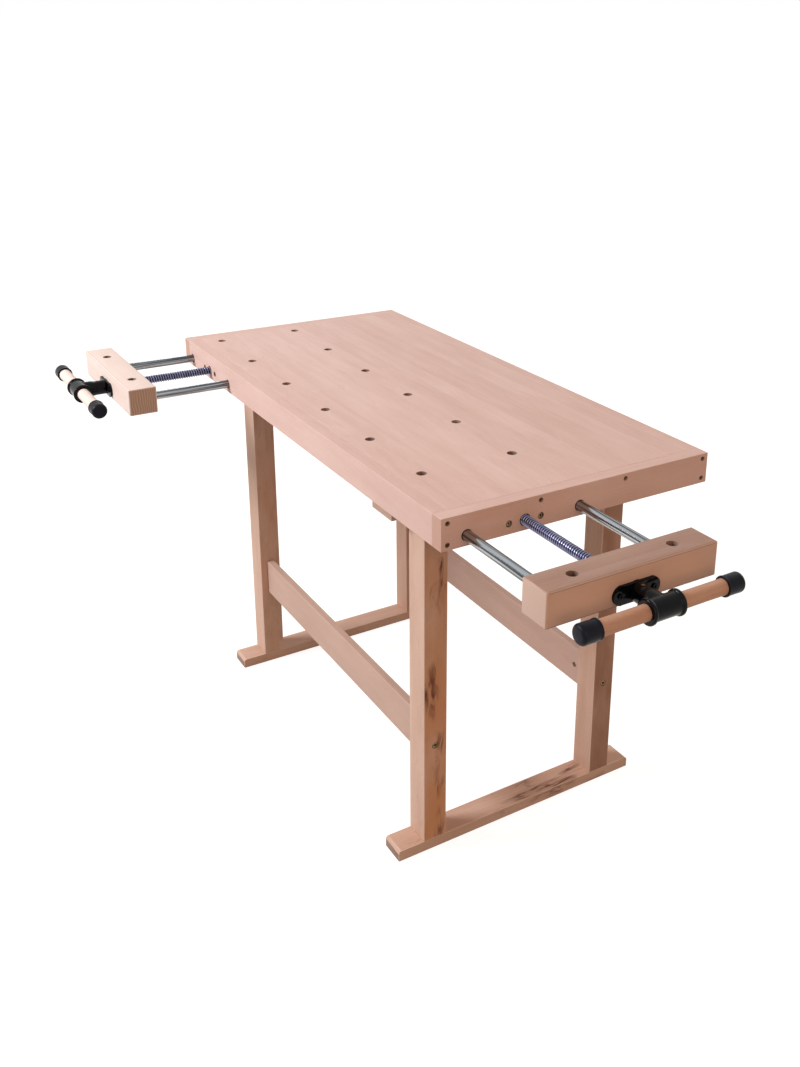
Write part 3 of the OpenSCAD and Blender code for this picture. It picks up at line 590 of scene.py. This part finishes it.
def turned_mesh(name, shapes, segments, place):
    """One mesh of several turned shapes, each a (profile, axis) pair, laid in place, faces outwards."""
    work = bmesh.new()
    for profile, axis in shapes:
        turn_profile(work, profile, axis, segments)
    bmesh.ops.recalc_face_normals(work, faces=work.faces)
    work.transform(place)
    return mesh_of(work, name)


# Flats around a turned piece, and around the core of a casting
TURNED_SIDES = 64
CAST_SIDES = 72


def rod_profile(start, stop, radius, chamfer):
    """Half section of a rod with chamfered ends."""
    return [(start, 0), (start, radius - chamfer), (start + chamfer, radius),
            (stop - chamfer, radius), (stop, radius - chamfer), (stop, 0)]


def guide_rods(vise):
    """Two ground rods with chamfered ends."""
    node = vise + "_guide_rods"
    start, stop = reach(node, OUT[vise])
    low_side, high_side = reach(node, SIDE[vise])
    radius = half_size(node, UP)
    height = reach(node, UP)[0] + radius
    chamfer = 1.2 * MM
    profile = rod_profile(start, stop, radius, chamfer)
    rods = []
    for side in (low_side + radius, high_side - radius):
        point = SIDE[vise] * side + UP * height
        rods.append(turned_mesh("rod", [(profile, "x")], TURNED_SIDES, frame_at(vise, point)))
    show(joined_mesh(rods, node + "_ground"), node + "_ground", node)


def handle_bar(vise):
    """A turned dowel, a hair thinner where hands have worn it on both sides of the hub."""
    node = vise + "_handle_bar"
    radius = half_size(node, UP)
    half = half_size(node, SIDE[vise])
    chamfer = 1.5 * MM
    steps = 20
    shares = [i / steps for i in range(1 - steps, steps)]
    hollow = 0.25 * MM
    waist = [(s * (half - chamfer), radius - hollow * math.sin(math.pi * abs(s)) ** 2) for s in shares]
    inset = 0.05 * MM
    profile = [(inset - half, 0), (inset - half, radius - chamfer), (chamfer - half, radius)] + waist
    profile += [(half - chamfer, radius), (half - inset, radius - chamfer), (half - inset, 0)]
    mesh = turned_mesh(node + "_turned", [(profile, "y")], TURNED_SIDES, frame_at(vise, centre(node)))
    mark_boards(mesh, node)
    show(mesh, node + "_turned", node)


def cap_profile(side, bar_end, depth, thick, inner, outer):
    """Half section of a rubber cap on a bar's end: a bead at its mouth, a soft shoulder, a domed end."""
    bead = 0.9 * MM
    shoulder = 7 * MM
    dome = 0.6 * MM
    steps = 10
    mouth = bar_end - depth
    tip = bar_end + thick
    points = [(bar_end, 0), (bar_end, inner), (mouth, inner), (mouth, outer - bead),
              (mouth + bead / 2, outer - bead / 4), (mouth + 2 * bead, outer),
              (mouth + 4 * bead, outer - bead / 3), (mouth + 5 * bead, outer - bead)]
    body = outer - bead * 0.6
    for i in range(steps + 1):
        angle = math.pi / 2 * i / steps
        place = tip - shoulder * (1 - math.sin(angle)) - dome
        points.append((place, body - shoulder * (1 - math.cos(angle))))
    points += [(tip - dome / 2, (body - shoulder) / 2), (tip, 0)]
    return [(side * place, radius) for place, radius in points]


def handle_caps(vise):
    """Two rubber caps that grip the ends of a bar."""
    node = vise + "_handle_caps"
    bar = vise + "_handle_bar"
    play = 0.02 * MM
    inner = half_size(bar, UP) + play
    outer = half_size(node, UP)
    depth = 33 * MM
    half = half_size(bar, SIDE[vise])
    thick = reach(node, SIDE[vise])[1] - reach(bar, SIDE[vise])[1]
    shapes = [(cap_profile(side, half, depth, thick, inner, outer), "y") for side in (-1, 1)]
    mesh = turned_mesh(node + "_moulded", shapes, TURNED_SIDES, frame_at(vise, centre(node)))
    show(mesh, node + "_moulded", node)


def discard(holder):
    """Removes an object and its mesh."""
    mesh = holder.data
    bpy.data.objects.remove(holder)
    bpy.data.meshes.remove(mesh)


def evaluated_copy(holder):
    """The mesh that a holder's modifiers give. The holder is removed."""
    bpy.context.view_layer.update()
    graph = bpy.context.evaluated_depsgraph_get()
    result = holder.evaluated_get(graph)
    mesh = bpy.data.meshes.new_from_object(result, preserve_all_data_layers=True, depsgraph=graph)
    discard(holder)
    return mesh


def holder_of(mesh, name):
    """An object that carries a mesh while modifiers work on it."""
    holder = bpy.data.objects.new(name, mesh)
    bpy.context.scene.collection.objects.link(holder)
    return holder


def hub(vise):
    """A casting: a barrel with rims for the bar and a neck for the screw, joined by soft fillets."""
    node = vise + "_hub"
    bar_node = vise + "_handle_bar"
    bar = centre(bar_node)
    half = half_size(node, SIDE[vise])
    rim = half_size(node, UP)
    bar_play = 0.3 * MM
    bore = half_size(bar_node, UP) + bar_play
    rim_height = 3 * MM
    barrel = rim - rim_height
    rim_width = 7 * MM
    chamfer = 1.5 * MM
    screw_depth = 24 * MM
    screw_bore = 10 * MM
    # How far the drills run past the casting, and how blunt they are
    past = 5 * MM
    blunt = 0.1 * MM
    back = reach(node, OUT[vise])[0] - bar.dot(OUT[vise])
    # The neck has a broken end, and flares over these shares of its length
    neck = 17 * MM
    broken = 0.5 * MM
    flare_start, flare_end = 0.62, 0.45
    neck_profile = [(back, 0), (back, neck - broken), (back + 2 * broken, neck), (back * flare_start, neck),
                    (back * flare_end, neck + 3 * broken), (0, neck + 4 * broken), (0, 0)]
    shapes = [(rod_profile(-half, half, barrel, chamfer), "y"),
              (rod_profile(-half, rim_width - half, rim, chamfer), "y"),
              (rod_profile(half - rim_width, half, rim, chamfer), "y"),
              (neck_profile, "x")]
    holder = holder_of(turned_mesh("hub_core", shapes, CAST_SIDES, Matrix.Identity(4)), "hub_core")
    remesh = holder.modifiers.new("cast", "REMESH")
    remesh.mode = "VOXEL"
    remesh.voxel_size = 0.85 * MM
    soften = holder.modifiers.new("soften", "SMOOTH")
    soften.factor = 0.5
    soften.iterations = 6
    bores = [(rod_profile(-half - past, half + past, bore, blunt), "y"),
             (rod_profile(back - past, back + screw_depth, screw_bore, blunt), "x")]
    cutter = holder_of(turned_mesh("hub_bores", bores, CAST_SIDES, Matrix.Identity(4)), "hub_bores")
    drill = holder.modifiers.new("drill", "BOOLEAN")
    drill.operation = "DIFFERENCE"
    drill.solver = "EXACT"
    drill.object = cutter
    mesh = evaluated_copy(holder)
    discard(cutter)
    mesh.transform(frame_at(vise, bar))
    show(mesh, node + "_cast", node)


# Thread of the lead screws
LEAD = 6 * MM
GROOVE = 2.2 * MM
ROWS_PER_TURN = 14
COLUMNS = 36
# Shares of a lead, counted from the middle of a crest, at which a flank starts and ends
CREST_END, ROOT_START = 0.17, 0.31
# Share of the length, to each side of its middle, that lies inside the two end rows
INSIDE = 0.49999
# Corners of the thread closer than this are one
THREAD_WELD = 0.005 * MM


def new_tree(name, inputs):
    """A geometry tree with named inputs, each of a kind, and what its input node gives."""
    tree = bpy.data.node_groups.new(name, "GeometryNodeTree")
    for label, kind in inputs.items():
        tree.interface.new_socket(label, in_out="INPUT", socket_type="NodeSocket" + kind)
    tree.interface.new_socket("Geometry", in_out="OUTPUT", socket_type="NodeSocketGeometry")
    return tree, put(tree, "NodeGroupInput").outputs


def end_tree(tree, geometry, finish):
    """Ends a geometry tree with its instances made real and its finish set."""
    real = put(tree, "GeometryNodeRealizeInstances", {"Geometry": geometry})
    finished = put(tree, "GeometryNodeSetMaterial", {"Geometry": real.outputs[0], "Material": finish})
    put(tree, "NodeGroupOutput", {"Geometry": finished.outputs[0]})


def thread_tree():
    """A screw built from a grid: rows along its length, columns around it, pressed in along a helix."""
    tree, given = new_tree("screw_thread", {
        "Length": "Float", "Radius": "Float", "Groove": "Float", "Lead": "Float", "Rows": "Int",
        "Columns": "Int", "Finish": "Material"})
    columns = put(tree, "ShaderNodeMath", {0: given["Columns"], 1: 1.0}, operation="ADD")
    grid = put(tree, "GeometryNodeMeshGrid", {
        "Size X": given["Length"], "Size Y": 2 * math.pi, "Vertices X": given["Rows"],
        "Vertices Y": columns.outputs[0]})
    spot = put(tree, "GeometryNodeInputPosition")
    split = put(tree, "ShaderNodeSeparateXYZ", {0: spot.outputs[0]})
    place, angle = split.outputs["X"], split.outputs["Y"]
    turns = put(tree, "ShaderNodeMath", {0: place, 1: given["Lead"]}, operation="DIVIDE")
    around = put(tree, "ShaderNodeMath", {0: angle, 1: 2 * math.pi}, operation="DIVIDE")
    behind = put(tree, "ShaderNodeMath", {0: turns.outputs[0], 1: around.outputs[0]}, operation="SUBTRACT")
    phase = put(tree, "ShaderNodeMath", {0: behind.outputs[0], 1: 0.5}, operation="PINGPONG")
    # Trapezoid: flat crests and roots, sloping flanks between
    depth = put(tree, "ShaderNodeMapRange", {
        0: phase.outputs[0], FROM_LOW: CREST_END, FROM_HIGH: ROOT_START}).outputs[0]
    pressed = put(tree, "ShaderNodeMath", {0: depth, 1: given["Groove"]}, operation="MULTIPLY")
    radius = put(tree, "ShaderNodeMath", {0: given["Radius"], 1: pressed.outputs[0]}, operation="SUBTRACT")
    # The rows at both ends close to a point
    half = put(tree, "ShaderNodeMath", {0: given["Length"], 1: INSIDE}, operation="MULTIPLY")
    away = put(tree, "ShaderNodeMath", {0: place}, operation="ABSOLUTE")
    inside = put(tree, "ShaderNodeMath", {0: away.outputs[0], 1: half.outputs[0]}, operation="LESS_THAN")
    closed = put(tree, "ShaderNodeMath", {0: radius.outputs[0], 1: inside.outputs[0]}, operation="MULTIPLY")
    cosine = put(tree, "ShaderNodeMath", {0: angle}, operation="COSINE")
    sine = put(tree, "ShaderNodeMath", {0: angle}, operation="SINE")
    y = put(tree, "ShaderNodeMath", {0: cosine.outputs[0], 1: closed.outputs[0]}, operation="MULTIPLY")
    z = put(tree, "ShaderNodeMath", {0: sine.outputs[0], 1: closed.outputs[0]}, operation="MULTIPLY")
    wrapped = put(tree, "ShaderNodeCombineXYZ", {0: place, 1: y.outputs[0], 2: z.outputs[0]})
    kept = put(tree, "GeometryNodeStoreNamedAttribute", {
        "Geometry": grid.outputs["Mesh"], "Name": "groove", "Value": depth},
        data_type="FLOAT", domain="POINT")
    shaped = put(tree, "GeometryNodeSetPosition", {
        "Geometry": kept.outputs[0], "Position": wrapped.outputs[0]})
    joined = put(tree, "GeometryNodeMergeByDistance", {
        "Geometry": shaped.outputs[0], "Distance": THREAD_WELD})
    end_tree(tree, joined.outputs[0], given["Finish"])
    return tree


def grown(tree, mesh, values):
    """Runs a geometry tree on a mesh with the given named inputs, and returns the plain mesh."""
    holder = holder_of(mesh, "grown")
    modifier = holder.modifiers.new("grown", "NODES")
    modifier.node_group = tree
    sockets = {item.name: item.identifier for item in tree.interface.items_tree if item.in_out == "INPUT"}
    for name, value in values.items():
        modifier[sockets[name]] = value
    return evaluated_copy(holder)


def face_outwards(mesh):
    """Turns all faces of a closed mesh outwards."""
    work = bmesh.new()
    work.from_mesh(mesh)
    bmesh.ops.recalc_face_normals(work, faces=work.faces)
    work.to_mesh(mesh)
    work.free()


THREAD = thread_tree()


def lead_screw(vise):
    """A single-start trapezoidal screw whose lead is the one its joint states."""
    node = vise + "_lead_screw"
    length = 2 * half_size(node, OUT[vise])
    mesh = grown(THREAD, bpy.data.meshes.new("seed"), {
        "Length": length, "Radius": half_size(node, UP), "Groove": GROOVE, "Lead": LEAD,
        "Rows": int(length / LEAD * ROWS_PER_TURN), "Columns": COLUMNS, "Finish": BLUE_ZINC})
    mesh.transform(frame_at(vise, centre(node)))
    face_outwards(mesh)
    show(mesh, node + "_threaded", node)


for vise in ("front", "end"):
    guide_rods(vise)
    lead_screw(vise)
    hub(vise)
    handle_bar(vise)
    handle_caps(vise)


# Flats around a fastener's head and shank, and how much narrower the head's top is than its seat
HEAD_SIDES = 32
SHANK_SIDES = 20
HEAD_TAPER = 0.88


def fastener_tree():
    """Bolts or screws set on points: a slightly tapered head with a drive recess, and a shank below."""
    tree, given = new_tree("fasteners", {
        "Points": "Geometry", "Head radius": "Float", "Head height": "Float", "Shank radius": "Float",
        "Length": "Float", "Recess radius": "Float", "Recess depth": "Float", "Recess sides": "Int",
        "Finish": "Material"})
    top = put(tree, "ShaderNodeMath", {0: given["Head radius"], 1: HEAD_TAPER}, operation="MULTIPLY")
    head = put(tree, "GeometryNodeMeshCone", {
        "Vertices": HEAD_SIDES, "Radius Top": top.outputs[0], "Radius Bottom": given["Head radius"],
        "Depth": given["Head height"]})
    under = put(tree, "ShaderNodeMath", {0: given["Head height"], 1: -1.0}, operation="MULTIPLY")
    seat = put(tree, "ShaderNodeCombineXYZ", {2: under.outputs[0]})
    head_low = put(tree, "GeometryNodeTransform", {
        "Geometry": head.outputs["Mesh"], "Translation": seat.outputs[0]})
    # The shank starts halfway up the head, so that the two join into one solid
    middle = put(tree, "ShaderNodeMath", {0: given["Head height"], 1: 0.5}, operation="MULTIPLY")
    shank_length = put(tree, "ShaderNodeMath", {0: given["Length"], 1: middle.outputs[0]},
                       operation="SUBTRACT")
    shank = put(tree, "GeometryNodeMeshCylinder", {
        "Vertices": SHANK_SIDES, "Radius": given["Shank radius"], "Depth": shank_length.outputs[0]})
    half = put(tree, "ShaderNodeMath", {0: shank_length.outputs[0], 1: 0.5}, operation="MULTIPLY")
    drop = put(tree, "ShaderNodeMath", {0: middle.outputs[0], 1: half.outputs[0]}, operation="ADD")
    down = put(tree, "ShaderNodeMath", {0: drop.outputs[0], 1: -1.0}, operation="MULTIPLY")
    sunk = put(tree, "ShaderNodeCombineXYZ", {2: down.outputs[0]})
    shank_low = put(tree, "GeometryNodeTransform", {
        "Geometry": shank.outputs["Mesh"], "Translation": sunk.outputs[0]})
    solid = put(tree, "GeometryNodeMeshBoolean", operation="UNION")
    tree.links.new(head_low.outputs[0], solid.inputs["Mesh 2"])
    tree.links.new(shank_low.outputs[0], solid.inputs["Mesh 2"])
    deep = put(tree, "ShaderNodeMath", {0: given["Recess depth"], 1: 2.0}, operation="MULTIPLY")
    recess = put(tree, "GeometryNodeMeshCylinder", {
        "Vertices": given["Recess sides"], "Radius": given["Recess radius"], "Depth": deep.outputs[0]})
    cut = put(tree, "GeometryNodeMeshBoolean", {
        "Mesh 1": solid.outputs["Mesh"], "Mesh 2": recess.outputs["Mesh"]}, operation="DIFFERENCE")
    way = put(tree, "GeometryNodeInputNamedAttribute", {"Name": "out"}, data_type="FLOAT_VECTOR")
    turn = put(tree, "FunctionNodeAlignRotationToVector", {"Vector": way.outputs["Attribute"]}, axis="Z")
    copies = put(tree, "GeometryNodeInstanceOnPoints", {
        "Points": given["Points"], "Instance": cut.outputs["Mesh"], "Rotation": turn.outputs[0]})
    end_tree(tree, copies.outputs[0], given["Finish"])
    return tree


FASTENER = fastener_tree()

# Corners this close to a fastener's full width are on its head, and this close to its length at its tip
HEAD_SHARE = 0.98
TIP_SHARE = 0.99
# Fasteners are alike if their sizes agree to this digit of a metre
ALIKE_DIGITS = 5


def fastener_place(corners):
    """Top of one fastener's head, the way it faces, and its sizes, read from its solid."""
    points = [corner.co for corner in corners]
    low = Vector([min(p[i] for p in points) for i in range(3)])
    high = Vector([max(p[i] for p in points) for i in range(3)])
    size = high - low
    axis = max(range(3), key=lambda i: size[i])
    middle = (low + high) / 2
    spread = [max(abs(p[i] - middle[i]) for i in range(3) if i != axis) for p in points]
    wide = max(spread)
    head_places = [p[axis] for p, far in zip(points, spread) if far > wide * HEAD_SHARE]
    up = sum(head_places) / len(head_places) > middle[axis]
    top = middle.copy()
    top[axis] = high[axis] if up else low[axis]
    out = Vector((0, 0, 0))
    out[axis] = 1 if up else -1
    head = max(abs(place - top[axis]) for place in head_places)
    tip = size[axis] * TIP_SHARE
    narrow = max(far for p, far in zip(points, spread) if abs(p[axis] - top[axis]) > tip)
    return top, out, wide, head, narrow, size[axis]


def fasteners(node, recess_share, recess_sides, recess_depth):
    """All the bolts or screws of one node, with a hexagon or square drive."""
    work = solid_copy(node)
    alike = {}
    for corners in loose_parts(work):
        top, out, *sizes = fastener_place(corners)
        alike.setdefault(tuple(round(size, ALIKE_DIGITS) for size in sizes), []).append((top, out))
    work.free()
    meshes = []
    for wide, head, narrow, length in sorted(alike):
        same = alike[(wide, head, narrow, length)]
        points = bpy.data.meshes.new("points")
        points.from_pydata([top for top, out in same], [], [])
        ways = points.attributes.new("out", "FLOAT_VECTOR", "POINT")
        ways.data.foreach_set("vector", [part for top, out in same for part in out])
        meshes.append(grown(FASTENER, points, {
            "Head radius": wide, "Head height": head, "Shank radius": narrow, "Length": length,
            "Recess radius": wide * recess_share, "Recess depth": recess_depth,
            "Recess sides": recess_sides, "Finish": finish_of(node)}))
    show(joined_mesh(meshes, node + "_set"), node + "_set", node)


# Socket bolts take a hexagon key, with a recess as deep as this in mm, and wood screws a square driver.
# The recess is a share of the head's width.
KEY_SHARE, KEY_SIDES = 0.5, 6
SOCKET_BOLTS = {"stretcher_bolts": 3.0, "nut_plate_bolts": 3.0, "foot_screws": 2.0,
                "front_stop_screws": 2.5, "end_stop_screws": 2.5}
for bolts, depth in SOCKET_BOLTS.items():
    fasteners(bolts, KEY_SHARE, KEY_SIDES, depth * MM)
DRIVER_SHARE, DRIVER_SIDES, DRIVER_DEPTH = 0.45, 4, 1.6 * MM
WOOD_SCREWS = ("end_board_screws", "cleat_screws", "guide_block_screws", "front_flange_screws",
               "end_flange_screws")
for screws in WOOD_SCREWS:
    fasteners(screws, DRIVER_SHARE, DRIVER_SIDES, DRIVER_DEPTH)

# Solids that keep their own shape, such as hidden pins, nuts and dowels, take their finish too
for node, solid in frame["nodes"].items():
    solid.data.materials.clear()
    solid.data.materials.append(finish_of(node))

# The floor is white to the eye and in reflections, where it still takes the bench's soft shadow
FLOOR_SIZE = 14
FLOOR_GLOW = 0.87


def seen_share(tree):
    """One where the eye, a reflection or a clear body looks, and nothing where light is gathered."""
    path = put(tree, "ShaderNodeLightPath").outputs
    seen = path["Is Camera Ray"]
    for ray in ("Is Glossy Ray", "Is Transmission Ray"):
        seen = put(tree, "ShaderNodeMath", {0: seen, 1: path[ray]}, operation="MAXIMUM").outputs[0]
    return seen


def floor():
    """A pale sheet under the bench."""
    material, tree = new_material("white_paper_floor")
    glow = put(tree, "ShaderNodeMath", {0: seen_share(tree), 1: FLOOR_GLOW}, operation="MULTIPLY")
    surface = put(tree, "ShaderNodeBsdfPrincipled", {
        "Base Color": linear("a09a94"), "Roughness": 0.9, "Emission Color": linear("ffffff"),
        "Emission Strength": glow.outputs[0]})
    put(tree, "ShaderNodeOutputMaterial", {"Surface": surface.outputs[0]})
    half = FLOOR_SIZE / 2
    mesh = bpy.data.meshes.new("floor")
    corners = [(-half, -half, 0), (half, -half, 0), (half, half, 0), (-half, half, 0)]
    mesh.from_pydata(corners, [], [(0, 1, 2, 3)])
    mesh.materials.append(material)
    sheet = bpy.data.objects.new("floor", mesh)
    bpy.context.scene.collection.objects.link(sheet)


floor()

# Strength and colour of the light that the room gives
AMBIENT = 0.40
AMBIENT_HUE = "ffeedd"


def surroundings():
    """A white room: white to the eye and in reflections, and a soft even light on the bench."""
    world = bpy.data.worlds.new("white_room")
    bpy.context.scene.world = world
    world.use_nodes = True
    tree = world.node_tree
    tree.nodes.clear()
    seen = seen_share(tree)
    strength = put(tree, "ShaderNodeMapRange", {0: seen, TO_LOW: AMBIENT, TO_HIGH: 1.0})
    hue = put(tree, "ShaderNodeMix", {
        MIX_FACTOR: seen, MIX_A: linear(AMBIENT_HUE), MIX_B: linear("ffffff")}, data_type="RGBA")
    light = put(tree, "ShaderNodeBackground", {
        "Color": hue.outputs[MIX_RESULT], "Strength": strength.outputs[0]})
    put(tree, "ShaderNodeOutputWorld", {"Surface": light.outputs[0]})


surroundings()


def lamp(name, place, aim, size, power, colour):
    """A soft square lamp at a place, aimed at a point."""
    light = bpy.data.lights.new(name, "AREA")
    light.size = size
    light.energy = power
    light.color = linear(colour)[:3]
    holder = bpy.data.objects.new(name, light)
    holder.location = place
    holder.rotation_euler = (Vector(aim) - Vector(place)).to_track_quat("-Z", "Y").to_euler()
    bpy.context.scene.collection.objects.link(holder)


# Places and widths are in metres, and powers in watts
LAMPS = {
    "key_front_left": dict(place=(-1.4, -3.4, 3.1), aim=(0, 0, 0.7), size=1.5, power=165, colour="ffffff"),
    "rim_back_left": dict(place=(-3.6, 0.8, 2.8), aim=(0, 0, 0.8), size=0.6, power=7, colour="ffffff"),
    "fill_back": dict(place=(-0.5, 3.8, 2.2), aim=(0, 0, 0.6), size=2.5, power=24, colour="fff4ea"),
    "fill_right": dict(place=(3.4, -0.6, 1.9), aim=(0.5, 0, 0.6), size=1.6, power=24, colour="ffd6b0"),
}
for name, settings in LAMPS.items():
    lamp(name, **settings)

# The photograph's viewpoint, found by fitting the bench's corners and holes to the picture: degrees of
# turn, tilt and roll, the eye's place in metres, and the focal length and optical centre in pixels
VIEW_TURN, VIEW_TILT, VIEW_ROLL = 57.2226, 18.8997, 0.8965
EYE = (2.15488, -1.20779, 1.66140)
FOCAL_LENGTH = 1118.37
CENTRE_X, CENTRE_Y = 474.595, 401.392
SENSOR_HEIGHT = 36


def camera():
    """A camera at the photograph's viewpoint."""
    turn, tilt, roll = (math.radians(angle) for angle in (VIEW_TURN, VIEW_TILT, VIEW_ROLL))
    back = Vector((math.sin(turn) * math.cos(tilt), -math.cos(turn) * math.cos(tilt), math.sin(tilt)))
    level = Vector((math.cos(turn), math.sin(turn), 0))
    rise = back.cross(level)
    right = math.cos(roll) * level + math.sin(roll) * rise
    up = back.cross(right)
    lens = bpy.data.cameras.new("camera")
    lens.sensor_fit = "VERTICAL"
    lens.sensor_height = SENSOR_HEIGHT
    lens.lens = FOCAL_LENGTH / PHOTO_HEIGHT * SENSOR_HEIGHT
    lens.shift_x = (PHOTO_WIDTH / 2 - CENTRE_X) / PHOTO_HEIGHT
    lens.shift_y = (CENTRE_Y - PHOTO_HEIGHT / 2) / PHOTO_HEIGHT
    eye = bpy.data.objects.new("camera", lens)
    place = Matrix((right, up, back)).transposed().to_4x4()
    place.translation = Vector(EYE)
    eye.matrix_world = place
    bpy.context.scene.collection.objects.link(eye)
    bpy.context.scene.camera = eye


camera()
bpy.context.scene.view_settings.view_transform = "Standard"
